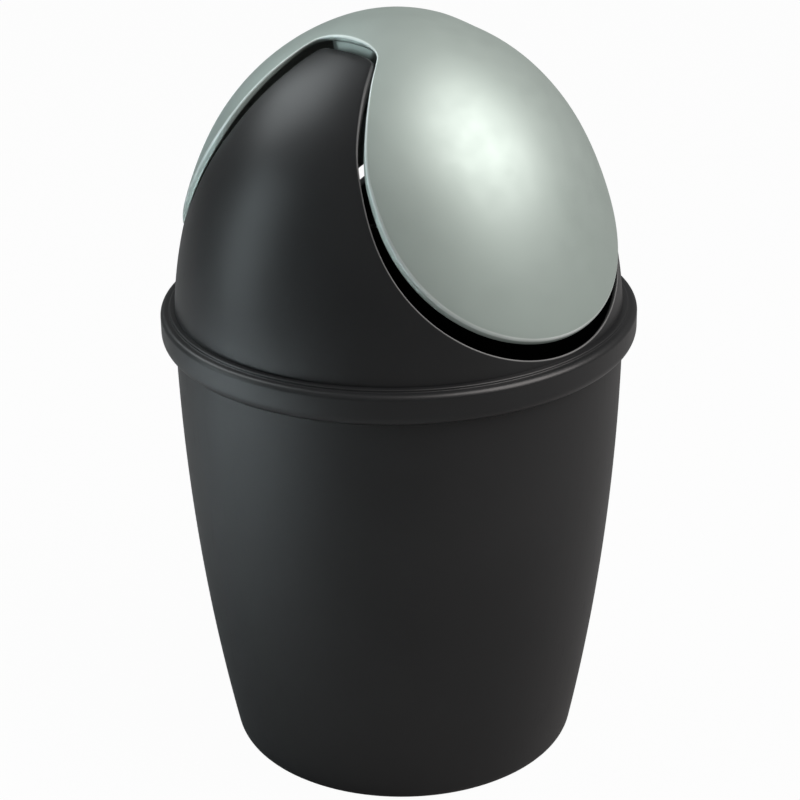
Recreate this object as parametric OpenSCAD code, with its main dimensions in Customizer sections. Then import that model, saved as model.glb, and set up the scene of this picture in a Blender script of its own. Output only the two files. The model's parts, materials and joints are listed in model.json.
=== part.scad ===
// Countertop bin with a domed hood and a saddle-shaped lid that swings both ways.
// Millimetres, +Z up. The origin is the centre of the base, and the lid turns about an
// axis along X. The bucket is open at the top, the hood plugs over its rim, and the lid
// hangs in the hood from two pins.

/* [Bucket] */
// Height of the bucket, from the table to its rim
bucket_h = 129; // [110:1:160]
// Outer radius at the rim
rim_r = 61.4; // [55:0.1:75]
// Outer radius that the wall's curve runs to at the table
base_r = 48.4; // [40:0.1:54]
// Thickness of the bucket wall
bucket_wall = 1.6; // [1.2:0.1:2.5]
// Thickness of the floor
floor_t = 2; // [1.4:0.1:4]
// Rounding of the outer bottom edge
bottom_round = 2.6; // [1:0.1:6]
// Rounding where the floor meets the wall inside
inner_round = 3; // [1:0.1:6]
// Inner radius of the standing ring under the floor
foot_inner_r = 42; // [30:0.5:44]
// How far the floor is raised inside the standing ring
foot_h = 1.2; // [0.6:0.1:3]

/* [Collar] */
// Depth of the channel that drops over the bucket's rim
channel_depth = 7.4; // [5:0.1:12]
// Play between the rim and the roof of the channel
seat_gap = 0.05; // [0.02:0.01:0.3]
// Play between the rim and the collar's lip
lip_gap = 0.3; // [0.2:0.05:0.6]
// How far the collar curves out from the lip to its widest part
collar_bulge = 3.4; // [2:0.1:5]
// Rounding of the collar's upper edge
collar_round = 1.5; // [0.5:0.1:1.8]
// Thickness of the ledge over the channel
ledge_t = 1.7; // [1.4:0.1:2.6]
// Height of the small step between the ledge and the dome
step_h = 0.7; // [0.3:0.1:1.5]
// Width of that step
step_w = 1.5; // [0.8:0.1:2]
// Play between the inner skirt and the bucket wall
skirt_gap = 0.35; // [0.3:0.05:0.8]
// Thickness of the inner skirt
skirt_t = 1.4; // [1:0.1:2.2]
// How far the skirt reaches below the rim
skirt_depth = 10; // [5:0.5:20]

/* [Dome] */
// Height of the lid's crown above the rim
dome_h = 82; // [76:0.5:90]
// Radius of the crown, seen from the side
crown_r = 43; // [38:0.5:48]
// Angle that the crown's arc covers from the top
crown_angle = 18.8; // [14:0.1:24]
// Angle that the shoulder's arc covers
shoulder_angle = 47.1; // [42:0.1:52]
// Radius of the dome's side
side_r = 117; // [100:0.5:150]
// How far the dome's foot stands out beyond the bucket's rim
foot_out = 0.4; // [0.2:0.05:0.8]
// Thickness of the hood's wall
hood_wall = 1.5; // [1.2:0.1:2.2]
// How far the lid stands out beyond the hood, all round
lid_proud = 0.6; // [0:0.05:1]
// How much lower the hood's dome lies than the lid's
hood_drop = 2; // [0:0.1:2.4]

/* [Opening] */
// Height of the pivot above the rim
pivot_h = 63; // [58:0.5:66]
// Half the width of the strip between the two cheeks
strip_half = 17.6; // [16.5:0.1:21]
// Radius of the cheeks' rounded tops about the pivot
cheek_r = 15; // [13:0.1:16]
// Rounding of the cheeks' top corners
cheek_corner_r = 1; // [0.4:0.1:4]
// Rounding where the cheek's top runs into its flank
flank_r = 18.1; // [14:0.1:24]
// Radius of each lobe of the opening, laid out about the pivot
lobe_r = 42.2; // [39:0.1:44]
// Distance from the pivot to the lobe's centre
lobe_offset = 43; // [40:0.1:44]

/* [Lid] */
// Thickness of the lid
lid_wall = 1.6; // [1.2:0.1:2.4]
// Gap between the lid and the hood at the lobes' sides and along the strip
swing_gap = 1.1; // [0.9:0.05:1.8]
// Gap between the lid and the cheeks' rounded tops
cheek_gap = 2.4; // [1.6:0.1:4]
// Gap between the lid's lower edge and the hood
bottom_gap = 3.2; // [2:0.1:3.4]
// Rounding of the lid's inner corners beside the cheeks' top corners
lid_corner_r = 2.8; // [1:0.1:4]
// Rounding of the lid's outline beside the cheek's flank
lid_flank_r = 17.6; // [13:0.1:20]
// Thickness of each ear under the lid
ear_t = 2.4; // [1.6:0.1:3.5]
// Radius of the ear's round end
ear_r = 5.4; // [4.4:0.1:7]
// Half the width of the ear's root at the height of the crown
ear_root = 9; // [6:0.5:11]

/* [Pivot] */
// Radius of the pin
pin_r = 2; // [1.5:0.1:2.6]
// Play between the pin and the ear's bore, on the radius
pin_play = 0.05; // [0.02:0.01:0.1]
// Length of the pin inside the boss
pin_grip = 12; // [6:0.5:14]
// Space left at the end of the pin's bore
bore_end = 0.5; // [0.2:0.1:1]
// Radius of the pin's head
pin_head_r = 3.7; // [3:0.1:4.5]
// Thickness of the pin's head
pin_head_t = 1.4; // [0.8:0.1:2]
// Chamfer at the pin's tip
pin_tip = 0.6; // [0.3:0.1:0.8]
// Side play of the ear between the pin's head and the boss
ear_play = 0.35; // [0.3:0.05:0.6]
// Outer radius of the boss inside each cheek
boss_r = 4.6; // [3.6:0.1:5.5]
// Space between the strip's edge and the ear's outer face
ear_inset = 2.5; // [2.2:0.1:4]
// Thickness of the web that ties the boss to the cheek
web_t = 1.8; // [1.2:0.1:3]

/* [Hidden] */
$fn = 96;
// Overlap of faces that are cut or joined, so that none is left shared
eps = 0.5;
// Keeps two tangent arcs from grazing each other
graze = 0.01;
// Larger than the whole bin, for cutting planes
far = 400;

// The bucket's wall is one arc, upright at the rim
wall_lean = rim_r - base_r;
wall_arc_r = (bucket_h * bucket_h + wall_lean * wall_lean) / (2 * wall_lean);
wall_arc_x = rim_r - wall_arc_r;
bucket_floor_z = foot_h + floor_t;

// The collar and its channel
lip_r = rim_r + lip_gap;
collar_r = lip_r + collar_bulge;
seat_z = bucket_h + seat_gap;
lip_z = bucket_h - channel_depth;
ledge_z = seat_z + ledge_t;
skirt_outer_r = rim_r - bucket_wall - skirt_gap;
skirt_inner_r = skirt_outer_r - skirt_t;
skirt_z = bucket_h - skirt_depth;

// The dome is three arcs, each tangent to the next: crown, shoulder and side. The shoulder
// gets the radius at which the side comes down on the foot.
dome_z = bucket_h + dome_h;
crown_c = [0, dome_z - crown_r];
side_angle = crown_angle + shoulder_angle;
crown_dir = [sin(crown_angle), cos(crown_angle)];
side_dir = [sin(side_angle), cos(side_angle)];
turn_dir = side_dir - crown_dir;
foot_from = [rim_r + foot_out, ledge_z] - crown_c - crown_r * crown_dir + side_r * side_dir;
foot_along = foot_from * turn_dir / (turn_dir * turn_dir);
foot_room = (foot_from * foot_from - side_r * side_r) / (turn_dir * turn_dir);
shoulder_r = foot_along - sqrt(foot_along * foot_along - foot_room);
shoulder_c = crown_c - (shoulder_r - crown_r) * crown_dir;
side_c = shoulder_c - (side_r - shoulder_r) * side_dir;

// The pivot, the lid's ears and the cheeks' bosses
pivot_z = bucket_h + pivot_h;
ear_outer_x = strip_half - ear_inset;
ear_inner_x = ear_outer_x - ear_t;
boss_x = ear_outer_x + ear_play;
head_x = ear_inner_x - ear_play;
ear_h = dome_z - pivot_z;

// Radius of the dome's side at height z, drawn in by inset
function side_radius(z, inset) =
    side_c[0] + sqrt(pow(side_r - inset, 2) - pow(z - side_c[1], 2));

// Everything from height z0 to z1, right of the axis
module band(z0, z1) {
    polygon([[0, z0], [far, z0], [far, z1], [0, z1]]);
}

// Solid section inside the bucket's wall curve, drawn in by inset, from a floor at z0 with
// a rounded corner up to z1
module bucket_section(inset, corner, z0, z1) {
    arc_r = wall_arc_r - inset;
    corner_z = z0 + corner;
    corner_x = wall_arc_x + sqrt(pow(arc_r - corner, 2) - pow(bucket_h - corner_z, 2));
    touch_z = bucket_h - (bucket_h - corner_z) * arc_r / (arc_r - corner);
    corner_r = corner - graze;
    intersection() {
        translate([wall_arc_x, bucket_h]) circle(r = arc_r, $fn = 720);
        band(touch_z, z1);
    }
    translate([corner_x, z0 + corner_r]) circle(r = corner_r);
    translate([0, z0]) square([corner_x, corner_r]);
}

// Solid section under the dome's three arcs, drawn in by inset, from z0 up. Each lower arc is
// drawn in by the graze, so that it crosses the arc above it.
module dome_section(inset, z0) {
    crown_z = crown_c[1] + (crown_r - inset) * cos(crown_angle);
    shoulder_z = shoulder_c[1] + (shoulder_r - inset) * cos(side_angle);
    intersection() {
        translate(crown_c) circle(r = crown_r - inset, $fn = 180);
        band(z0, far);
    }
    intersection() {
        translate(shoulder_c) circle(r = shoulder_r - inset - graze, $fn = 240);
        band(z0, crown_z);
    }
    if (z0 < shoulder_z)
        intersection() {
            translate(side_c) circle(r = side_r - inset - 2 * graze, $fn = 480);
            band(z0, shoulder_z);
        }
}

// Solid section under the hood's dome, from z0 up
module hood_section(inset, z0) {
    translate([0, -hood_drop]) dome_section(lid_proud + inset, z0 + hood_drop);
}

// Outline in the plane of the pivot axis: x is the distance from the axis and y runs along
// it. A strip over the axis widens past the cheek's top, round a flank, into a round lobe.
module swing_outline(strip, cheek, corner, flank, r, offset) {
    flank_rho = cheek + flank;
    flank_reach = r - flank;
    flank_y = sqrt(flank_reach * flank_reach - pow(offset - flank_rho, 2));
    touch_x = offset - r * (offset - flank_rho) / flank_reach;
    intersection() {
        translate([offset, 0]) circle(r = r - graze, $fn = 240);
        translate([touch_x, -far]) square([far, 2 * far]);
    }
    translate([cheek + graze, -flank_y]) square([offset - cheek, 2 * flank_y]);
    for (side = [0, 1])
        mirror([0, side]) {
            translate([flank_rho, flank_y]) circle(r = flank, $fn = 180);
            difference() {
                translate([cheek - corner, 0]) square([corner + eps, strip + corner]);
                translate([cheek - corner, strip + corner]) circle(r = corner + 2 * graze);
            }
        }
    translate([0, -strip]) square([offset, 2 * strip]);
}

// The hood's opening, turned about the pivot axis
module opening() {
    translate([0, 0, pivot_z])
        rotate([0, 90, 0])
            rotate_extrude($fn = 240)
                swing_outline(strip_half, cheek_r, cheek_corner_r, flank_r, lobe_r, lobe_offset);
}

// The space that the lid fills when it turns, clear of the opening's edge
module lid_sweep() {
    lid_lobe_r = lobe_r - swing_gap;
    lid_offset = lobe_offset - (bottom_gap - swing_gap);
    translate([0, 0, pivot_z])
        rotate([0, 90, 0])
            rotate_extrude($fn = 240)
                swing_outline(strip_half - swing_gap, cheek_r + cheek_gap, lid_corner_r, lid_flank_r,
                    lid_lobe_r, lid_offset);
}

module along_x(x0, r, length) {
    translate([x0, 0, pivot_z])
        rotate([0, 90, 0])
            cylinder(r = r, h = length);
}

module bucket() {
    color([0.10, 0.11, 0.11])
        rotate_extrude()
            difference() {
                bucket_section(0, bottom_round, 0, bucket_h);
                bucket_section(bucket_wall, inner_round, bucket_floor_z, bucket_h + eps);
                translate([0, -eps]) square([foot_inner_r, foot_h + eps]);
            }
}

// Section of the collar, its channel and the skirt inside the bucket
module collar_section() {
    curve_z = lip_z + collar_bulge;
    round_c = [collar_r - collar_round, ledge_z - collar_round];
    step_r = side_radius(ledge_z + hood_drop, lid_proud) + step_w;
    difference() {
        union() {
            translate([lip_r, curve_z]) circle(r = collar_bulge);
            translate(round_c) circle(r = collar_round);
            translate([lip_r, curve_z]) square([collar_bulge, round_c[1] - curve_z]);
            translate([skirt_inner_r, curve_z]) square([round_c[0] - skirt_inner_r, ledge_z - curve_z]);
            translate([skirt_inner_r, skirt_z]) square([skirt_t, ledge_z - skirt_z]);
            // step between the ledge and the dome
            translate([skirt_inner_r, ledge_z - eps])
                square([step_r - skirt_inner_r, step_h + eps]);
        }
        // channel for the rim, open downwards
        translate([skirt_outer_r, skirt_z - eps])
            square([lip_r - skirt_outer_r, seat_z - skirt_z + eps]);
    }
}

// Boss that grips a pin, from the cheek's wall inwards
module boss() {
    intersection() {
        along_x(boss_x, boss_r, far);
        rotate_extrude() hood_section(hood_wall / 2, pivot_z - 2 * boss_r);
    }
}

// Web between the boss and the cheek above it
module boss_web() {
    intersection() {
        translate([strip_half + hood_wall, -web_t / 2, pivot_z]) cube([far, web_t, far]);
        rotate_extrude() hood_section(hood_wall / 2, pivot_z - 2 * boss_r);
    }
}

module hood() {
    color([0.09, 0.10, 0.10])
        difference() {
            union() {
                difference() {
                    rotate_extrude()
                        difference() {
                            hood_section(0, ledge_z - eps);
                            hood_section(hood_wall, ledge_z - 2 * eps);
                        }
                    opening();
                }
                rotate_extrude() collar_section();
                for (side = [0, 1])
                    mirror([side, 0, 0]) {
                        boss();
                        boss_web();
                    }
            }
            // blind bores for the pins
            for (side = [0, 1])
                mirror([side, 0, 0]) along_x(boss_x - eps, pin_r, pin_grip + bore_end + eps);
        }
}

// Flat ear: a round end about the pivot, widening to its root under the lid
module ear(x0) {
    intersection() {
        translate([x0, 0, pivot_z])
            rotate([90, 0, 90])
                linear_extrude(ear_t) {
                    circle(r = ear_r);
                    polygon([[-ear_r, 0], [ear_r, 0], [ear_root, ear_h], [-ear_root, ear_h]]);
                }
        rotate_extrude() dome_section(lid_wall / 2, pivot_z - 2 * ear_r);
    }
}

module swing_lid() {
    color([0.60, 0.65, 0.62])
        difference() {
            union() {
                intersection() {
                    rotate_extrude()
                        difference() {
                            dome_section(0, bucket_h);
                            dome_section(lid_wall, bucket_h - eps);
                        }
                    lid_sweep();
                }
                ear(ear_inner_x);
                ear(-ear_outer_x);
            }
            along_x(-far / 2, pin_r + pin_play, far);
        }
}

// Headed pin along +X: the head is on the inner side of the ear, the tip in the boss
module pivot_pin() {
    shank = boss_x + pin_grip - head_x;
    along_x(head_x - pin_head_t, pin_head_r, pin_head_t);
    along_x(head_x - pin_head_t / 2, pin_r, shank - pin_tip + pin_head_t / 2);
    translate([head_x + shank - pin_tip, 0, pivot_z])
        rotate([0, 90, 0])
            cylinder(r1 = pin_r, r2 = pin_r - pin_tip, h = pin_tip);
}

module pivot_pin_left() {
    color([0.16, 0.17, 0.17])
        mirror([1, 0, 0]) pivot_pin();
}

module pivot_pin_right() {
    color([0.16, 0.17, 0.17])
        pivot_pin();
}

bucket();
hood();
swing_lid();
pivot_pin_left();
pivot_pin_right();
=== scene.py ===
import json
import math
import bmesh
import bpy
import numpy as np
from mathutils import Matrix, Vector


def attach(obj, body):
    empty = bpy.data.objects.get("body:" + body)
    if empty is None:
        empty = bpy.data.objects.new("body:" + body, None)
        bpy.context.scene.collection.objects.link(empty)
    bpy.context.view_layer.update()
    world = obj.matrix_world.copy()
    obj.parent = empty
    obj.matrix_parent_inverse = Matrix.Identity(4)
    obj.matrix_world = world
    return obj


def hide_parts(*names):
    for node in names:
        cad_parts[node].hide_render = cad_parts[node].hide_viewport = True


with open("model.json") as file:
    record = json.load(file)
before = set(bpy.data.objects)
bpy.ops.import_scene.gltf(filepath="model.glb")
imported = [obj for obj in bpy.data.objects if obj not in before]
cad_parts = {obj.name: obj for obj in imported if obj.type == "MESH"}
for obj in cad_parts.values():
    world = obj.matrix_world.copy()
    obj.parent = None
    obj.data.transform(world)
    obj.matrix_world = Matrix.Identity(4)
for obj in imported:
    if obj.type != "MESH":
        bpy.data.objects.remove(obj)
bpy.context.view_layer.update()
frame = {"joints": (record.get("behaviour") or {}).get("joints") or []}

mm = 0.001
meshing = {
    "weld": 2e-6,            # metres between points that become one
    "sliver": 1e-6,          # metres below which an edge is dissolved
    "rimSteps": 7,           # points along each half of a shell's rim
    "rimShare": 0.42,        # of a rim's width that each half's bend takes up
    "pull": 1.1,             # a bend reaches this much further than an arc of the same radius
    "cornerPoints": 400,     # along the arcs that make up a quarter of an outline
    "flankPoints": 600,
    "lobePoints": 2400,
    "quarterRows": 150,      # into which a quarter of an outline is then divided evenly
    "bucketSegments": 256,   # around each turned piece
    "collarSegments": 384,
    "pinSegments": 64,
    "earSegments": 144,
}
view = {
    "aroundDegrees": 46.6,   # how far the camera stands to the left of the front lobe
    "distance": 0.5923,      # metres from the bin's axis, along the floor
    "height": 0.3695,
    "downDegrees": 24.44,
    "rollDegrees": -0.80,
    "focalPixels": 2328.5,   # focal length in pixels of the 800 pixel frame
    "framePixels": 800,
}


def makeCamera():
    around = math.radians(view["aroundDegrees"])
    down = math.radians(view["downDegrees"])
    roll = math.radians(view["rollDegrees"])
    place = Vector((-math.sin(around), -math.cos(around), 0)) * view["distance"]
    place.z = view["height"]
    forward = Vector((math.sin(around) * math.cos(down), math.cos(around) * math.cos(down), -math.sin(down)))
    right = Vector((math.cos(around), -math.sin(around), 0))
    up = right.cross(forward)
    rolledRight = right * math.cos(roll) + up * math.sin(roll)
    rolledUp = up * math.cos(roll) - right * math.sin(roll)
    data = bpy.data.cameras.new("camera")
    data.sensor_width = 36
    data.lens = data.sensor_width * view["focalPixels"] / view["framePixels"]
    data.clip_start = 0.01
    camera = bpy.data.objects.new("camera", data)
    axes = Matrix((rolledRight, rolledUp, -forward)).transposed()
    camera.matrix_world = Matrix.Translation(place) @ axes.to_4x4()
    bpy.context.scene.collection.objects.link(camera)
    bpy.context.scene.camera = camera


makeCamera()
print("camera set")


def gridFaces(rows, columns, closeRows, closeColumns):
    # quads between neighbours of a rows x columns grid, as indices into its flat list
    index = np.arange(rows * columns).reshape(rows, columns)
    if closeRows:
        index = np.vstack((index, index[:1]))
    if closeColumns:
        index = np.hstack((index, index[:, :1]))
    return np.stack((index[:-1, :-1], index[1:, :-1], index[1:, 1:], index[:-1, 1:]), axis=-1).reshape(-1, 4)


# no columns with a painted highlight
noPaintedHighlight = (0, 0)


def makePiece(name, grids, material):
    # grids is a list of (points[rows, columns, 3] in mm, closeRows, closeColumns, columns): the last is the
    # range of columns that run along a bare edge, where the material paints a pale highlight, or an empty
    # range
    points = []
    faces = []
    # per point, 1 where the material paints a highlight along a bare edge; the edge attribute carries it
    highlightMarks = []
    start = 0
    for grid, closeRows, closeColumns, highlightRange in grids:
        rows, columns = grid.shape[:2]
        points.append(grid.reshape(-1, 3))
        share = np.zeros((rows, columns))
        share[:, highlightRange[0]:highlightRange[1]] = 1
        highlightMarks.append(share.ravel())
        faces.append(gridFaces(rows, columns, closeRows, closeColumns) + start)
        start += rows * columns
    mesh = bpy.data.meshes.new(name)
    mesh.from_pydata((np.concatenate(points) * mm).tolist(), [], np.concatenate(faces).tolist())
    mesh.attributes.new("edge", "FLOAT", "POINT").data.foreach_set("value", np.concatenate(highlightMarks))
    work = bmesh.new()
    work.from_mesh(mesh)
    bmesh.ops.remove_doubles(work, verts=work.verts, dist=meshing["weld"])
    bmesh.ops.dissolve_degenerate(work, edges=work.edges, dist=meshing["sliver"])
    bmesh.ops.recalc_face_normals(work, faces=work.faces)
    work.to_mesh(mesh)
    work.free()
    mesh.shade_smooth()
    mesh.materials.append(material)
    piece = bpy.data.objects.new(name, mesh)
    bpy.context.scene.collection.objects.link(piece)
    print(name, len(mesh.polygons), "faces")
    return piece


def bend(start, corner, end, steps):
    # rounds a corner: a quadratic curve from start to end that is pulled towards the corner
    t = np.linspace(0, 1, steps).reshape(-1, *([1] * np.ndim(start)))
    return (1 - t) ** 2 * start + 2 * t * (1 - t) * corner + t ** 2 * end


def roundedOutline(corners, steps):
    # corners is a closed list of (r, z, rounding): each corner is cut back by its rounding and bent round
    place = np.array([c[:2] for c in corners], float)
    pull = np.array([c[2] for c in corners], float)[:, None]
    before = np.roll(place, 1, axis=0) - place
    after = np.roll(place, -1, axis=0) - place
    before /= np.linalg.norm(before, axis=1, keepdims=True)
    after /= np.linalg.norm(after, axis=1, keepdims=True)
    curve = bend(place + before * pull, place, place + after * pull, steps)
    return curve.transpose(1, 0, 2).reshape(-1, 2)


def turned(outline, segments):
    # turns an (r, z) outline about the z axis
    angle = np.linspace(0, 2 * np.pi, segments, endpoint=False)[:, None]
    r, z = outline[:, 0][None], outline[:, 1][None]
    return np.stack((r * np.cos(angle), r * np.sin(angle), z + 0 * angle), axis=-1)


bucketShape = {
    "height": 129.0,
    "rimRadius": 61.4,
    "baseRadius": 48.4,
    "wall": 1.6,
    "floor": 2.0,
    "bottomRound": 2.6,
    "innerRound": 3.0,
    "rimRound": 0.5,
    "footRadius": 42.0,      # inside the standing ring
    "footHeight": 1.2,
    "footRound": 0.4,
    "wallPoints": 70,        # along the outside and the inside of the outline
    "floorPoints": 20,
}


def bucketWall(z, inset):
    # radius of the wall at height z: one arc that is upright at the rim
    lean = bucketShape["rimRadius"] - bucketShape["baseRadius"]
    arc = (bucketShape["height"] ** 2 + lean ** 2) / (2 * lean)
    drop = bucketShape["height"] - z
    return bucketShape["rimRadius"] - arc + np.sqrt((arc - inset) ** 2 - drop ** 2)


def bucketOutline():
    # closed outline of the half section: up the outside, over the rim, down the inside, across the floor
    shape = bucketShape
    top = shape["height"]
    foot = shape["footHeight"]
    inside = foot + shape["floor"]
    edge = top - shape["rimRound"]
    outerPull = shape["bottomRound"] * meshing["pull"]
    innerPull = shape["innerRound"] * meshing["pull"]
    climb = np.linspace(outerPull, edge, shape["wallPoints"])
    outer = np.stack((bucketWall(climb, 0), climb), axis=-1)
    descent = np.linspace(edge, inside + innerPull, shape["wallPoints"])
    inner = np.stack((bucketWall(descent, shape["wall"]), descent), axis=-1)
    outerTop = np.array((outer[-1, 0], top))
    innerTop = np.array((inner[0, 0], top))
    rimOut = bend(outer[-1], outerTop, outerTop - (shape["rimRound"], 0), 6)
    rimIn = bend(innerTop + (shape["rimRound"], 0), innerTop, inner[0], 6)
    innerCorner = np.array((bucketWall(inside, shape["wall"]), inside))
    innerBend = bend(inner[-1], innerCorner, innerCorner - (innerPull, 0), 10)
    floorLine = np.linspace(innerBend[-1, 0], 0, shape["floorPoints"])
    floorTop = np.stack((floorLine, 0 * floorLine + inside), axis=-1)
    recess = shape["footRadius"]
    underLine = np.linspace(0, recess - 0.5, shape["floorPoints"])
    under = np.stack((underLine, 0 * underLine + foot), axis=-1)
    recessTop = np.array((recess, foot))
    recessFoot = np.array((recess, 0.0))
    footIn = bend(under[-1], recessTop, recessTop - (0, shape["footRound"]), 4)
    footEdge = bend(recessFoot + (0, shape["footRound"]), recessFoot, recessFoot + (shape["footRound"], 0), 4)
    outerCorner = np.array((bucketWall(0, 0), 0.0))
    outerBend = bend(outerCorner - (outerPull, 0), outerCorner, outer[0], 10)
    return np.concatenate((outer, rimOut, rimIn, inner, innerBend, floorTop, under, footIn, footEdge,
                           outerBend))


domeShape = {
    "top": 211.0,
    "crownRadius": 43.0,
    "crownDegrees": 18.8,
    "shoulderRadius": 64.0,
    "shoulderDegrees": 47.1,
    "sideRadius": 117.0,
    "easeCrown": 7.0,        # half the length over which one curve eases into the next
    "easeSide": 12.0,
    "length": 112.0,         # of the outline, from the crown to below the foot
    "step": 0.01,            # between the outline's points
}


def smoothStep(t):
    t = np.clip(t, 0, 1)
    return t * t * (3 - 2 * t)


def runningSum(values, step):
    # sum of the values along the outline, each step taken at the mean of its ends
    return np.concatenate(((0,), np.cumsum(values[1:] + values[:-1]) * step / 2))


def walkDome():
    # walks down the dome's outline from the crown: the curvature eases from arc to arc, its running
    # sum is the slope, and the running sums of the slope's cosine and sine are radius and drop
    shape = domeShape
    step = shape["step"]
    along = np.arange(0, shape["length"], step)
    firstJoin = shape["crownRadius"] * math.radians(shape["crownDegrees"])
    secondJoin = firstJoin + shape["shoulderRadius"] * math.radians(shape["shoulderDegrees"])
    toShoulder = smoothStep((along - firstJoin) / (2 * shape["easeCrown"]) + 0.5)
    toSide = smoothStep((along - secondJoin) / (2 * shape["easeSide"]) + 0.5)
    crown, shoulder, side = 1 / shape["crownRadius"], 1 / shape["shoulderRadius"], 1 / shape["sideRadius"]
    curvature = crown + (shoulder - crown) * toShoulder + (side - shoulder) * toSide
    slope = runningSum(curvature, step)
    radius = runningSum(np.cos(slope), step)
    height = shape["top"] - runningSum(np.sin(slope), step)
    return along, radius, height, slope


domeAlong, domeRadius, domeHeight, domeSlope = walkDome()
pivotHeight = next(joint["pos_m"][2] for joint in frame["joints"] if joint["name"] == "lid_swing") / mm


def domeMeridian(layer):
    # a layer is how far the outline is drawn in along its own normal, and how far it is lowered
    inset, drop = layer
    return domeRadius - inset * np.sin(domeSlope), domeHeight - inset * np.cos(domeSlope) - drop


def onDome(along, around, layer):
    # point at a distance along the outline from the crown and an angle around the axis
    radius, height = domeMeridian(layer)
    r = np.interp(along, domeAlong, radius)
    return np.stack((r * np.cos(around), r * np.sin(around), np.interp(along, domeAlong, height)), axis=-1)


def domeNormal(along, around):
    slope = np.interp(along, domeAlong, domeSlope)
    return np.stack((np.sin(slope) * np.cos(around), np.sin(slope) * np.sin(around), np.cos(slope)), axis=-1)


def onChart(chart, layer):
    # the chart is the dome rolled out flat: distance from its middle is distance along the outline
    return onDome(np.hypot(chart[..., 0], chart[..., 1]), np.arctan2(chart[..., 1], chart[..., 0]), layer)


def chartOf(points, layer):
    # the distance from the pivot's middle grows steadily along the outline, so it finds the place on it
    radius, height = domeMeridian(layer)
    reach = np.hypot(radius, height - pivotHeight)
    away = np.sqrt(points[..., 0] ** 2 + points[..., 1] ** 2 + (points[..., 2] - pivotHeight) ** 2)
    along = np.interp(away, reach, domeAlong)
    around = np.arctan2(points[..., 1], points[..., 0])
    return np.stack((along * np.cos(around), along * np.sin(around)), axis=-1)


openingShape = {
    "stripHalf": 17.6,       # from the middle to a cheek
    "cheekRadius": 15.0,     # of a cheek's rounded top, about the pivot
    "cheekCorner": 1.0,
    "flank": 18.1,
    "lobeRadius": 42.2,
    "lobeOffset": 43.0,      # from the pivot to a lobe's middle
}
lidShape = {
    "wall": 1.6,
    "rimRound": 0.75,
    "topColumns": 34,        # of the mesh, from the middle out to the rim
    "highlightColumns": 4,        # of the rim that get a painted highlight
    "belowColumns": 20,
    "middleReach": 62.0,     # of the line that the rows fan out from, to the front and to the back
    "stripHalf": 16.5,
    "cheekRadius": 17.4,
    "cheekCorner": 2.8,
    "flank": 17.6,
    "lobeRadius": 41.1,
    "lobeOffset": 40.9,
    "earThickness": 2.4,
    "earRadius": 5.4,
    "earRoot": 9.0,          # half its width at the height of the crown
    "earRoof": 14.0,         # how far to front and back the dome above it is followed
    "earInset": 2.5,         # from the strip's edge
    "earChamfer": 0.4,
    "bore": 2.05,
}
hoodShape = {
    "wall": 1.5,
    "inset": 0.6,            # below the lid's dome
    "drop": 2.0,
    "rimRound": 0.75,
    "baseAt": 130.0,         # height at which the dome ends, inside the collar
    "outsideColumns": 40,    # of the mesh, from the foot up to the rim
    "highlightColumns": 10,       # of the rim that get a painted highlight
    "insideColumns": 24,
    "bossRadius": 4.6,
    "bossRound": 0.6,
    "boreChamfer": 0.3,
    "web": 1.8,
}
lidTop = (0, 0)
lidBelow = (lidShape["wall"], 0)
lidMiddle = (lidShape["wall"] / 2, 0)
hoodTop = (hoodShape["inset"], hoodShape["drop"])
hoodBelow = (hoodShape["inset"] + hoodShape["wall"], hoodShape["drop"])
hoodMiddle = (hoodShape["inset"] + hoodShape["wall"] / 2, hoodShape["drop"])


def arcPoints(x, y, radius, start, end, count):
    angle = np.radians(np.linspace(start, end, count))
    return np.stack((x + radius * np.cos(angle), y + radius * np.sin(angle)), axis=-1)


def quarterOutline(shape):
    # a quarter of the outline as (along the pivot axis, distance from the pivot axis): arcs round the
    # cheek's corner, round the flank and round the lobe, each tangent to the next
    corner = shape["cheekCorner"]
    flank = shape["flank"]
    offset = shape["lobeOffset"]
    flankY = shape["cheekRadius"] + flank
    flankX = math.sqrt((shape["lobeRadius"] - flank) ** 2 - (offset - flankY) ** 2)
    rise = math.degrees(math.atan2(flankY - offset, flankX))
    return np.concatenate((
        arcPoints(shape["stripHalf"] + corner, shape["cheekRadius"] - corner, corner, 180, 90,
                  meshing["cornerPoints"]),
        arcPoints(flankX, flankY, flank, -90, rise, meshing["flankPoints"]),
        arcPoints(0, offset, shape["lobeRadius"], rise, 90, meshing["lobePoints"]),
    ))


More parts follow.
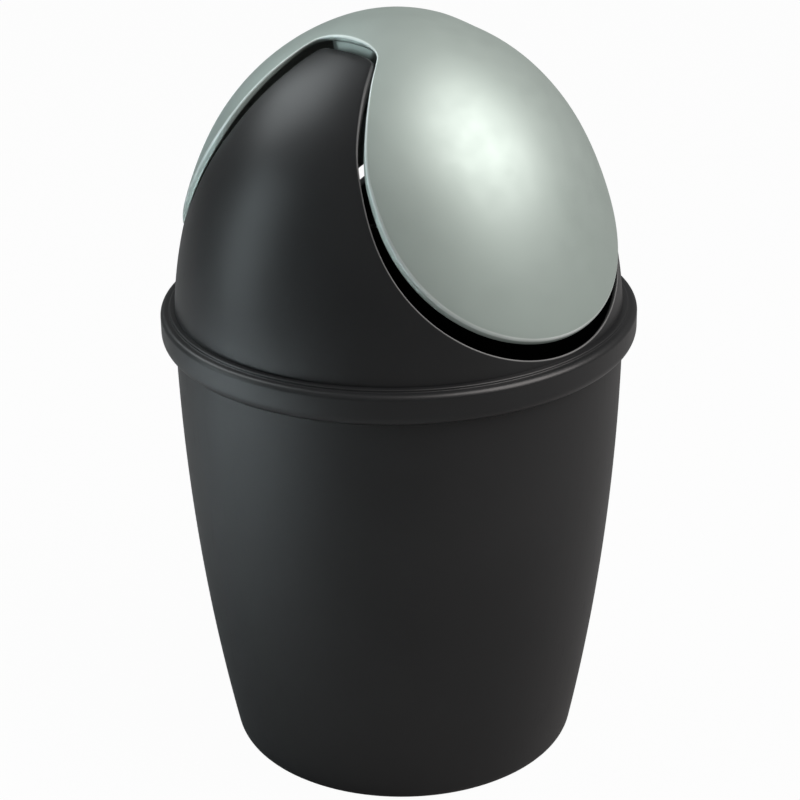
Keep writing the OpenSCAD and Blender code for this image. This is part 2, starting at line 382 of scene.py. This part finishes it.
def rimLoop(outline, layer):
    # lays the outline on the dome: a point's distance from the pivot's middle gives its height, and
    # the rest of its radius goes front to back. The quarter is evenly spaced and mirrored to a loop
    radius, height = domeMeridian(layer)
    reach = np.hypot(radius, height - pivotHeight)
    along = np.interp(np.hypot(outline[:, 0], outline[:, 1]), reach, domeAlong)
    r = np.interp(along, domeAlong, radius)
    depthSquared = r ** 2 - outline[:, 0] ** 2
    first = np.argmax(depthSquared > 0)
    share = depthSquared[first] / (depthSquared[first] - depthSquared[first - 1])
    middle = outline[first] * (1 - share) + outline[first - 1] * share
    x = np.concatenate((middle[:1], outline[first:, 0]))
    y = np.concatenate(((0,), np.sqrt(np.maximum(depthSquared[first:], 0))))
    z = np.interp(np.concatenate((np.hypot(*middle)[None], np.hypot(outline[first:, 0], outline[first:, 1]))),
                  reach, height)
    quarter = np.stack((x, -y, z), axis=-1)
    quarter[-1, 0] = 0
    keep = np.concatenate(((True,), np.linalg.norm(np.diff(quarter, axis=0), axis=1) > 1e-6))
    quarter = quarter[keep]
    length = np.concatenate(((0,), np.cumsum(np.linalg.norm(np.diff(quarter, axis=0), axis=1))))
    even = np.linspace(0, length[-1], meshing["quarterRows"] + 1)
    quarter = np.stack([np.interp(even, length, quarter[:, k]) for k in range(3)], axis=-1)
    left = quarter[::-1] * (-1, 1, 1)
    back = quarter * (-1, -1, 1)
    right = quarter[::-1] * (1, -1, 1)
    return np.concatenate((quarter[:-1], left[:-1], back[:-1], right[:-1]))


def rimInset(loop, layer, distance):
    # chart place of the points that lie a distance beside the loop, on the dome: the side is that of
    # the loop's tangent crossed with the dome's normal
    tangent = np.roll(loop, -1, axis=0) - np.roll(loop, 1, axis=0)
    tangent /= np.linalg.norm(tangent, axis=1, keepdims=True)
    chart = chartOf(loop, layer)
    normal = domeNormal(np.hypot(chart[:, 0], chart[:, 1]), np.arctan2(chart[:, 1], chart[:, 0]))
    return chartOf(loop + np.cross(tangent, normal) * distance, layer)


def sheetRows(start, end, layer, columns):
    # rows of points on the dome, straight in the chart, from start to end
    t = np.linspace(0, 1, columns)[None, :, None]
    return onChart(start[:, None] + (end - start)[:, None] * t, layer)


def rimRows(outerFrom, outerCorner, innerCorner, innerTo):
    # the edge of a shell: bends over the outer corner, crosses the edge and bends over the inner one
    across = innerCorner - outerCorner
    share = across * meshing["rimShare"]
    outer = bend(outerFrom, outerCorner, outerCorner + share, meshing["rimSteps"])
    inner = bend(innerCorner - share, innerCorner, innerTo, meshing["rimSteps"])
    return np.concatenate((outer, inner)).transpose(1, 0, 2)


def lidShell():
    # loops over the lid: from its middle line out along the top sheet, round the rim and back below.
    # The middle line stops short of the lobes' ends, so that rows fan out round them
    shape = lidShape
    outline = quarterOutline(shape)
    outerLoop = rimLoop(outline, lidTop)
    innerLoop = rimLoop(outline, lidBelow)
    outerEnd = rimInset(outerLoop, lidTop, shape["rimRound"])
    innerEnd = rimInset(innerLoop, lidBelow, shape["rimRound"])
    reach = shape["middleReach"]
    beside = outerEnd[:, 1] / reach
    middle = np.stack((0 * beside, reach * beside / (1 + beside ** 4) ** 0.25), axis=-1)
    top = sheetRows(middle, outerEnd, lidTop, shape["topColumns"])
    below = sheetRows(innerEnd, middle, lidBelow, shape["belowColumns"])
    edge = rimRows(top[:, -1], outerLoop, innerLoop, below[:, 0])
    return np.concatenate((top, edge[:, 1:-1], below), axis=1)


def hoodShell():
    # rows from the dome's foot up the outside, over the opening's rim and down the inside. They fan
    # out evenly at the foot
    shape = hoodShape
    outline = quarterOutline(openingShape)
    outerLoop = rimLoop(outline, hoodTop)
    innerLoop = rimLoop(outline, hoodBelow)
    outerEnd = rimInset(outerLoop, hoodTop, -shape["rimRound"])
    innerEnd = rimInset(innerLoop, hoodBelow, -shape["rimRound"])
    around = -np.linspace(0, 2 * np.pi, len(outerLoop), endpoint=False)
    footAlong = np.interp(-shape["baseAt"], -domeMeridian(hoodTop)[1], domeAlong)
    foot = footAlong * np.stack((np.cos(around), np.sin(around)), axis=-1)
    outside = sheetRows(foot, outerEnd, hoodTop, shape["outsideColumns"])
    inside = sheetRows(innerEnd, foot, hoodBelow, shape["insideColumns"])
    edge = rimRows(outside[:, -1], outerLoop, innerLoop, inside[:, 0])
    return np.concatenate((outside, edge[:, 1:-1], inside), axis=1)


collarShape = {
    "lipGap": 0.3,           # between the rim and the lip
    "lipRound": 0.6,
    "bulge": 3.4,            # radius of the curve from the lip outwards
    "bulgeDegrees": -80,     # where that curve begins
    "round": 1.5,
    "channel": 7.4,          # how far the lip reaches down over the bucket's rim
    "seat": 0.05,            # between the rim and the channel's top
    "ledge": 1.7,            # thickness over the channel
    "stepHeight": 0.7,
    "stepWidth": 1.5,        # beyond the dome's foot
    "stepRound": 0.45,
    "stepFoot": 0.25,        # rounding where the step meets the ledge
    "under": 1.2,            # how far the step reaches in under the dome
    "skirtGap": 0.35,
    "skirt": 1.4,
    "skirtRound": 0.5,
    "skirtDepth": 10.0,
    "highlightColumns": (3, 6),   # of the outline that get a painted highlight, round the lip's foot
}


def collarOutline():
    # closed outline of the half section: lip, bulge, ledge, step, then the skirt and the channel
    shape = collarShape
    rim = bucketShape["rimRadius"]
    rimHeight = bucketShape["height"]
    lip = rim + shape["lipGap"]
    outer = lip + shape["bulge"]
    lipHeight = rimHeight - shape["channel"]
    seat = rimHeight + shape["seat"]
    ledge = seat + shape["ledge"]
    skirtOuter = rim - bucketShape["wall"] - shape["skirtGap"]
    skirtInner = skirtOuter - shape["skirt"]
    skirtFoot = rimHeight - shape["skirtDepth"]
    radius, height = domeMeridian(hoodTop)
    domeFoot = np.interp(-ledge, -height, radius)
    step = domeFoot + shape["stepWidth"]
    stepTop = ledge + shape["stepHeight"]
    bulge = arcPoints(lip, lipHeight + shape["bulge"], shape["bulge"], shape["bulgeDegrees"], 0, 16)
    crest = arcPoints(outer - shape["round"], ledge - shape["round"], shape["round"], 0, 90, 14)
    lipFoot = np.array((lip, lipHeight))
    stepLow = np.array((step, ledge))
    stepHigh = np.array((step, stepTop))
    underTop = np.array((domeFoot - shape["under"], stepTop))
    lipBend = bend(lipFoot + (0, shape["lipRound"]), lipFoot, bulge[0], 5)
    stepFoot = bend(stepLow + (shape["stepFoot"], 0), stepLow, stepLow + (0, shape["stepFoot"]), 4)
    stepBend = bend(stepHigh - (0, shape["stepHeight"] / 2), stepHigh, stepHigh - (shape["stepRound"], 0), 6)
    inward = bend(underTop + (shape["under"] / 2, 0), underTop, np.array((underTop[0], ledge)), 4)
    # the first and last corners belong half to the outline's other parts, so their ends are left out
    skirt = roundedOutline([
        (skirtInner, ledge, 0.4),
        (skirtInner, skirtFoot, shape["skirtRound"]),
        (skirtOuter, skirtFoot, shape["skirtRound"]),
        (skirtOuter, seat, 0.2),
        (lip, seat, 0.2),
    ], 5)[2:-2]
    return np.concatenate((lipBend, bulge[1:], crest, stepFoot, stepBend, inward, skirt))


pinShape = {
    "radius": 2.0,
    "grip": 12.0,            # length inside the boss
    "headRadius": 3.7,
    "headThickness": 1.4,
    "headDome": 0.45,        # by how much the face bulges
    "headRound": 0.3,
    "headSide": 0.35,        # from the dome's edge to where the side is straight
    "tip": 0.6,
    "corner": 0.2,
    "earPlay": 0.35,         # between the ear and the boss, and between the ear and the pin's head
    "boreEnd": 0.5,          # left free behind the tip
}
earOuter = openingShape["stripHalf"] - lidShape["earInset"]
earInner = earOuter - lidShape["earThickness"]
bossFace = earOuter + pinShape["earPlay"]
pinHeadFace = earInner - pinShape["earPlay"]


def alongPivot(outline, side):
    # turns an (x, r) outline about the pivot axis
    angle = np.linspace(0, 2 * np.pi, meshing["pinSegments"], endpoint=False)[:, None]
    x, r = outline[:, 0][None], outline[:, 1][None]
    return np.stack((side * (x + 0 * angle), r * np.cos(angle), pivotHeight + r * np.sin(angle)), axis=-1)


def domeReachAlongX(y, z, layer):
    # distance from the middle to the dome, along x, at front-to-back place y and height z
    radius, height = domeMeridian(layer)
    return np.sqrt(np.maximum(np.interp(-z, -height, radius) ** 2 - y ** 2, 0))


def bossGrid(side):
    # a tube from its face, with the pin's bore, to the middle of the cheek's wall
    outer = hoodShape["bossRadius"]
    rounding = hoodShape["bossRound"]
    chamfer = hoodShape["boreChamfer"]
    bore = pinShape["radius"]
    depth = pinShape["grip"] + pinShape["boreEnd"]
    angle = np.linspace(0, 2 * np.pi, meshing["pinSegments"], endpoint=False)[:, None]
    face = np.array([
        (depth, 0), (depth, bore), (chamfer, bore), (0, bore + chamfer),
        (0, outer - rounding), (rounding / 4, outer - rounding / 3), (rounding, outer),
    ], float) + (bossFace, 0)
    x = face[:, 0][None] + 0 * angle
    r = face[:, 1][None] + 0 * angle
    share = np.linspace(0.1, 1, 10)[None]
    y, z = outer * np.cos(angle), pivotHeight + outer * np.sin(angle)
    wall = domeReachAlongX(y, z, hoodMiddle)
    end = domeReachAlongX(0, pivotHeight, hoodMiddle) + 0 * y
    x = np.hstack((x, bossFace + rounding + (wall - bossFace - rounding) * share, end))
    r = np.hstack((r, outer + 0 * angle * share, 0 * angle))
    return np.stack((side * x, r * np.cos(angle), pivotHeight + r * np.sin(angle)), axis=-1)


def webGrid(side):
    # plate between boss and cheek: its ends follow the middle of the cheek's wall
    half = hoodShape["web"] / 2
    radius, height = domeMeridian(hoodMiddle)
    first = openingShape["stripHalf"] + hoodShape["wall"]
    last = domeReachAlongX(0, pivotHeight, hoodMiddle)
    x = np.linspace(first, last, 24)[:, None]
    roof = np.interp(x, radius, height)
    z = pivotHeight + (roof - pivotHeight) * np.array((0, 0.25, 0.5, 0.75, 1, 1, 0.75, 0.5, 0.25, 0))[None]
    y = half * np.array((-1, -1, -1, -1, -1, 1, 1, 1, 1, 1))[None] + 0 * x
    body = np.stack((side * (x + 0 * y), y, z), axis=-1)
    start = body[:1].mean(axis=1, keepdims=True) + 0 * body[:1]
    end = body[-1:].mean(axis=1, keepdims=True) + 0 * body[-1:]
    return np.concatenate((start, body, end))


def earGrid(side):
    # ring about the pivot: the bore inside, and outside a round end that widens to a root in the lid
    shape = lidShape
    angle = np.linspace(0, 2 * np.pi, meshing["earSegments"], endpoint=False)
    middle = (earOuter + earInner) / 2
    radius, height = domeMeridian(lidMiddle)
    y = np.linspace(-shape["earRoof"], shape["earRoof"], 400)
    roofZ = np.interp(np.hypot(middle, y), radius, height) - pivotHeight
    roofAngle = np.arctan2(roofZ, y)[::-1]
    far = 1e3    # where the dome isn't above the ear, it sets no limit
    roof = np.interp(angle, roofAngle, np.hypot(y, roofZ)[::-1], left=far, right=far)
    high = domeShape["top"] - pivotHeight
    spread = (shape["earRoot"] - shape["earRadius"]) / high
    flank = shape["earRadius"] / np.maximum(np.abs(np.cos(angle)) - spread * np.sin(angle), 1e-3)
    reach = np.where(np.sin(angle) > 0, np.minimum(flank, roof), shape["earRadius"])
    bore = shape["bore"] + 0 * angle
    edge = shape["earChamfer"]
    x = np.array((earInner + edge, earInner, earInner, earInner + edge, earOuter - edge, earOuter, earOuter,
                  earOuter - edge))
    r = np.stack((bore, bore + edge, reach - edge, reach, reach, reach - edge, bore + edge, bore), axis=-1)
    a = angle[:, None]
    return np.stack((side * (x[None] + 0 * a), r * np.cos(a), pivotHeight + r * np.sin(a)), axis=-1)


def pinOutline():
    # head with a domed face, shank and chamfered tip, as (x, r) from the head's middle to the tip's
    shape = pinShape
    head = shape["headRadius"]
    shank = shape["radius"]
    corner = shape["corner"]
    face = pinHeadFace - shape["headThickness"]
    rise = shape["headDome"]
    tipX = bossFace + shape["grip"]
    crown = np.linspace(0, 1, 8)
    dome = np.stack((face + rise * crown ** 2, (head - shape["headRound"]) * crown), axis=-1)
    headCorner = np.array((face + rise, head))
    edge = bend(dome[-1], headCorner, headCorner + (shape["headSide"], 0), 5)
    return np.concatenate((dome, edge, np.array([
        (pinHeadFace - corner, head), (pinHeadFace, head - corner),
        (pinHeadFace, shank + corner), (pinHeadFace + corner, shank),
        (tipX - shape["tip"], shank), (tipX, shank - shape["tip"]), (tipX, 0),
    ])))


class Flow:
    # a socket that takes part in sums: an expression on it adds Math nodes
    def __init__(self, tree, socket):
        self.tree = tree
        self.socket = socket

    def math(self, operation, other):
        return addNode(self.tree, "ShaderNodeMath", {0: self, 1: other}, operation=operation)

    def __add__(self, other):
        return self.math("ADD", other)

    def __mul__(self, other):
        return self.math("MULTIPLY", other)


def addNode(tree, kind, inputs, output=0, **settings):
    # settings first, then a value or a link for each socket
    node = tree.nodes.new(kind)
    for key, value in settings.items():
        setattr(node, key, value)
    for key, value in inputs.items():
        if isinstance(value, Flow):
            tree.links.new(value.socket, node.inputs[key])
        else:
            node.inputs[key].default_value = value
    return Flow(tree, node.outputs[output])


def startMaterial(name, fixed):
    # a Principled material; fixed holds the sockets that are the same all over
    material = bpy.data.materials.new(name)
    material.use_nodes = True
    tree = material.node_tree
    shader = tree.nodes["Principled BSDF"]
    for key, value in fixed.items():
        shader.inputs[key].default_value = value
    return material, shader, addNode(tree, "ShaderNodeTexCoord", {}, "Object")


def feed(shader, key, flow):
    flow.tree.links.new(flow.socket, shader.inputs[key])


def noise(place, scale, detail):
    sockets = {"Vector": place, "Scale": scale, "Detail": detail}
    return addNode(place.tree, "ShaderNodeTexNoise", sockets, "Fac")


def ranged(flow, low, high, fromLow=0.3, fromHigh=0.7):
    # stretches fromLow..fromHigh, by default the usual range of the noise, to low..high
    return addNode(flow.tree, "ShaderNodeMapRange", {0: flow, 1: fromLow, 2: fromHigh, 3: low, 4: high})


def drifting(flow, finish):
    # roughness that noise moves up and down from its middle
    return ranged(flow, finish["roughness"] - finish["roughnessDrift"],
                  finish["roughness"] + finish["roughnessDrift"])


def blended(amount, first, second):
    return addNode(amount.tree, "ShaderNodeMix", {0: amount, 6: first, 7: second}, 2, data_type="RGBA")


def paintedRimHighlight(place, colour, finish):
    # painted highlight: the colour turned pale where the mesh's edge attribute is 1, broken up by noise along
    # its length, in place of the light that the rounded rims catch
    edge = addNode(place.tree, "ShaderNodeAttribute", {}, "Fac", attribute_name="edge")
    share = ranged(noise(place, finish["highlightScale"], 3), finish["highlightLeast"], 1.0)
    return blended(edge * share, colour, finish["edge"])


def relief(shader, finish, height):
    # tilts the normal by the slope of the height
    sockets = {"Strength": finish["bump"], "Distance": finish["depth"], "Height": height}
    feed(shader, "Normal", addNode(height.tree, "ShaderNodeBump", sockets, "Normal"))


blackFinish = {
    "base": (0.0085, 0.0092, 0.0098, 1),
    "worn": (0.014, 0.0148, 0.0155, 1),
    # pale colour of the painted highlight along bare rims
    "edge": (0.15, 0.155, 0.155, 1),
    "highlightScale": 60,         # every scale is in waves of noise per metre
    "highlightLeast": 0.45,       # share of the painted highlight's colour where it is faintest
    "ior": 1.5,
    "specular": 0.38,
    "roughness": 0.46,
    "roughnessDrift": 0.03,
    "driftScale": 22,
    "driftColour": 0.8,      # most that slow noise takes of the worn colour
    "grainScale": 2600,
    "waveScale": 70,
    "scuffScale": 900,
    "scuffStretch": 0.08,    # scale along the height, as a share, so that the scuffs run up and down
    "scuffFrom": 0.62,       # noise above this begins a scuff, and at the next value it is full
    "scuffFull": 0.72,
    "scuffColour": 0.2,
    "scuffRoughness": 0.05,
    "grain": 0.05,           # shares of grain and waves in the relief
    "waves": 0.6,
    "bump": 0.35,
    "depth": 0.0002,         # of the relief, in metres
}
hoodFinish = {**blackFinish, "roughness": 0.38}
pinFinish = {**blackFinish, "base": (0.03, 0.031, 0.032, 1), "roughness": 0.45}
lidFinish = {
    "base": (0.325, 0.39, 0.36, 1),
    "light": (0.355, 0.415, 0.39, 1),
    # pale colour of the painted highlight along the lid's rim
    "edge": (0.66, 0.72, 0.70, 1),
    "highlightScale": 60,
    "highlightLeast": 0.45,
    "ior": 1.5,
    "metal": 0.5,
    "roughness": 0.50,
    "roughnessDrift": 0.03,
    "driftScale": 18,
    "patchScale": 160,
    "grainScale": 3000,
    "waveScale": 45,
    "grain": 0.03,
    "waves": 0.5,
    "bump": 0.3,
    "depth": 0.0002,
}


def blackPlastic(name, finish):
    # satin black. Colour: base towards worn by slow noise and by hairline scuffs, with a painted highlight
    # along bare edges.
    # Roughness: slow noise about its middle, and more in a scuff. Relief: fine grain over faint waves
    fixed = {"IOR": finish["ior"], "Specular IOR Level": finish["specular"]}
    material, shader, place = startMaterial(name, fixed)
    drift = noise(place, finish["driftScale"], 3)
    grain = noise(place, finish["grainScale"], 2)
    waves = noise(place, finish["waveScale"], 2)
    stretch = (1, 1, finish["scuffStretch"])
    scuffPlace = addNode(place.tree, "ShaderNodeMapping", {"Vector": place, "Scale": stretch})
    scuffNoise = noise(scuffPlace, finish["scuffScale"], 3)
    scuff = ranged(scuffNoise, 0, 1, finish["scuffFrom"], finish["scuffFull"])
    wear = ranged(drift, 0, finish["driftColour"]) + scuff * finish["scuffColour"]
    feed(shader, "Base Color", paintedRimHighlight(place, blended(wear, finish["base"], finish["worn"]), finish))
    feed(shader, "Roughness", drifting(drift, finish) + scuff * finish["scuffRoughness"])
    relief(shader, finish, grain * finish["grain"] + waves * finish["waves"])
    return material


def lidPlastic(name, finish):
    # satin silver grey. Colour: base towards light by slow noise, with a painted highlight along the rim.
    # Roughness: patches
    # of noise about its middle. Relief: very fine grain over broad, faint waves
    material, shader, place = startMaterial(name, {"IOR": finish["ior"], "Metallic": finish["metal"]})
    drift = noise(place, finish["driftScale"], 3)
    grain = noise(place, finish["grainScale"], 2)
    waves = noise(place, finish["waveScale"], 2)
    plain = blended(ranged(drift, 0, 1), finish["base"], finish["light"])
    feed(shader, "Base Color", paintedRimHighlight(place, plain, finish))
    feed(shader, "Roughness", drifting(noise(place, finish["patchScale"], 4), finish))
    relief(shader, finish, grain * finish["grain"] + waves * finish["waves"])
    return material


bucketMaterial = blackPlastic("bucketBlack", blackFinish)
hoodMaterial = blackPlastic("hoodBlack", hoodFinish)
pinMaterial = blackPlastic("pinBlack", pinFinish)
lidMaterial = lidPlastic("lidGrey", lidFinish)
print("materials made")


bucket = makePiece("bucketBody", [
    (turned(bucketOutline(), meshing["bucketSegments"]), True, True, noPaintedHighlight),
], bucketMaterial)
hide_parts("bucket")
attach(bucket, "bucket")

# the hood's rim and the collar's lip foot get a painted highlight
hoodHighlight = (hoodShape["outsideColumns"], hoodShape["outsideColumns"] + hoodShape["highlightColumns"])
hood = makePiece("hoodDome", [
    (hoodShell(), True, True, hoodHighlight),
    (turned(collarOutline(), meshing["collarSegments"]), True, True, collarShape["highlightColumns"]),
    *[(bossGrid(side), True, False, noPaintedHighlight) for side in (-1, 1)],
    *[(webGrid(side), False, True, noPaintedHighlight) for side in (-1, 1)],
], hoodMaterial)
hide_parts("hood")
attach(hood, "hood")

# the lid's rim gets a painted highlight
lidHighlight = (lidShape["topColumns"], lidShape["topColumns"] + lidShape["highlightColumns"])
lid = makePiece("swingLid", [
    (lidShell(), True, False, lidHighlight),
    *[(earGrid(side), True, True, noPaintedHighlight) for side in (-1, 1)],
], lidMaterial)
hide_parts("swing_lid")
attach(lid, "lid")

for side, node in ((-1, "pivot_pin_left"), (1, "pivot_pin_right")):
    pin = makePiece("pin" + ("Left" if side < 0 else "Right"),
                    [(alongPivot(pinOutline(), side), True, False, noPaintedHighlight)], pinMaterial)
    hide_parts(node)
    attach(pin, "hood")


stage = {
    "floorHalf": 3.0,
    "floorColour": 0.32,
    "whiteShare": 0.97,      # of plain white in the floor that the camera sees: the rest takes shadows
    "worldLight": 0.18,
}
lamps = {
    # name: place, then the point it shines at, both as metres (right of the camera's view, towards the
    # camera, up) from under the bin, then width, height, watts, spread in degrees and colour
    "key": ((0.70, 0.25, 0.94), (0, 0, 0.12), 0.85, 1.05, 18.0, 180, (1.0, 0.945, 0.925)),
    "left": ((-0.75, 0.06, 0.29), (0, 0, 0.12), 0.34, 0.50, 1.5, 180, (0.84, 0.96, 1.0)),
    "leftFloor": ((-0.40, 0.13, 0.52), (-0.40, 0.13, 0), 0.20, 0.20, 3.6, 56, (0.82, 0.95, 1.0)),
    "back": ((-0.66, -0.42, 0.90), (0, 0, 0.12), 0.60, 0.60, 4.6, 180, (0.92, 0.98, 1.0)),
}


def rays(tree, kind):
    return addNode(tree, "ShaderNodeLightPath", {}, kind)


def mixToOutput(tree, kind, amount, first, second):
    # mixes two shaders and leads them to an output node of the given kind
    mixed = addNode(tree, "ShaderNodeMixShader", {0: amount, 1: first, 2: second})
    tree.links.new(mixed.socket, tree.nodes.new(kind).inputs["Surface"])


def floorMaterial():
    # diffuse to the lamps' light and in reflections, nearly plain white to the camera
    material = bpy.data.materials.new("floorWhite")
    material.use_nodes = True
    tree = material.node_tree
    tree.nodes.clear()
    seen = rays(tree, "Is Camera Ray").math("MAXIMUM", rays(tree, "Is Transmission Ray"))
    grey = stage["floorColour"]
    diffuse = addNode(tree, "ShaderNodeBsdfDiffuse", {"Color": (grey, grey, grey, 1)})
    white = addNode(tree, "ShaderNodeEmission", {"Color": (1, 1, 1, 1), "Strength": 1.0})
    mixToOutput(tree, "ShaderNodeOutputMaterial", seen * stage["whiteShare"], diffuse, white)
    return material


def makeFloor():
    half = stage["floorHalf"]
    corners = [(-half, -half, 0), (half, -half, 0), (half, half, 0), (-half, half, 0)]
    mesh = bpy.data.meshes.new("floor")
    mesh.from_pydata(corners, [], [(0, 1, 2, 3)])
    mesh.materials.append(floorMaterial())
    floor = bpy.data.objects.new("floor", mesh)
    bpy.context.scene.collection.objects.link(floor)


def makeWorld():
    # a dim white light from all round, plain white to the camera
    world = bpy.data.worlds.new("studio")
    bpy.context.scene.world = world
    world.use_nodes = True
    tree = world.node_tree
    tree.nodes.clear()
    dim = addNode(tree, "ShaderNodeBackground", {"Color": (1, 1, 1, 1), "Strength": stage["worldLight"]})
    white = addNode(tree, "ShaderNodeBackground", {"Color": (1, 1, 1, 1), "Strength": 1.0})
    mixToOutput(tree, "ShaderNodeOutputWorld", rays(tree, "Is Camera Ray"), dim, white)


def makeLamps():
    around = math.radians(view["aroundDegrees"])
    right = (math.cos(around), -math.sin(around), 0)
    towards = (-math.sin(around), -math.cos(around), 0)
    axes = Matrix((right, towards, (0, 0, 1))).transposed()
    for name, (place, target, width, height, watts, spread, colour) in lamps.items():
        data = bpy.data.lights.new(name, "AREA")
        data.shape = "RECTANGLE"
        data.size = width
        data.size_y = height
        data.energy = watts
        data.color = colour
        data.spread = math.radians(spread)
        aim = axes @ (Vector(target) - Vector(place))
        lamp = bpy.data.objects.new(name, data)
        lamp.location = axes @ Vector(place)
        lamp.rotation_euler = aim.to_track_quat("-Z", "Y").to_euler()
        bpy.context.scene.collection.objects.link(lamp)


makeFloor()
makeWorld()
makeLamps()
bpy.context.scene.view_settings.view_transform = "Standard"
print("stage and lamps set")
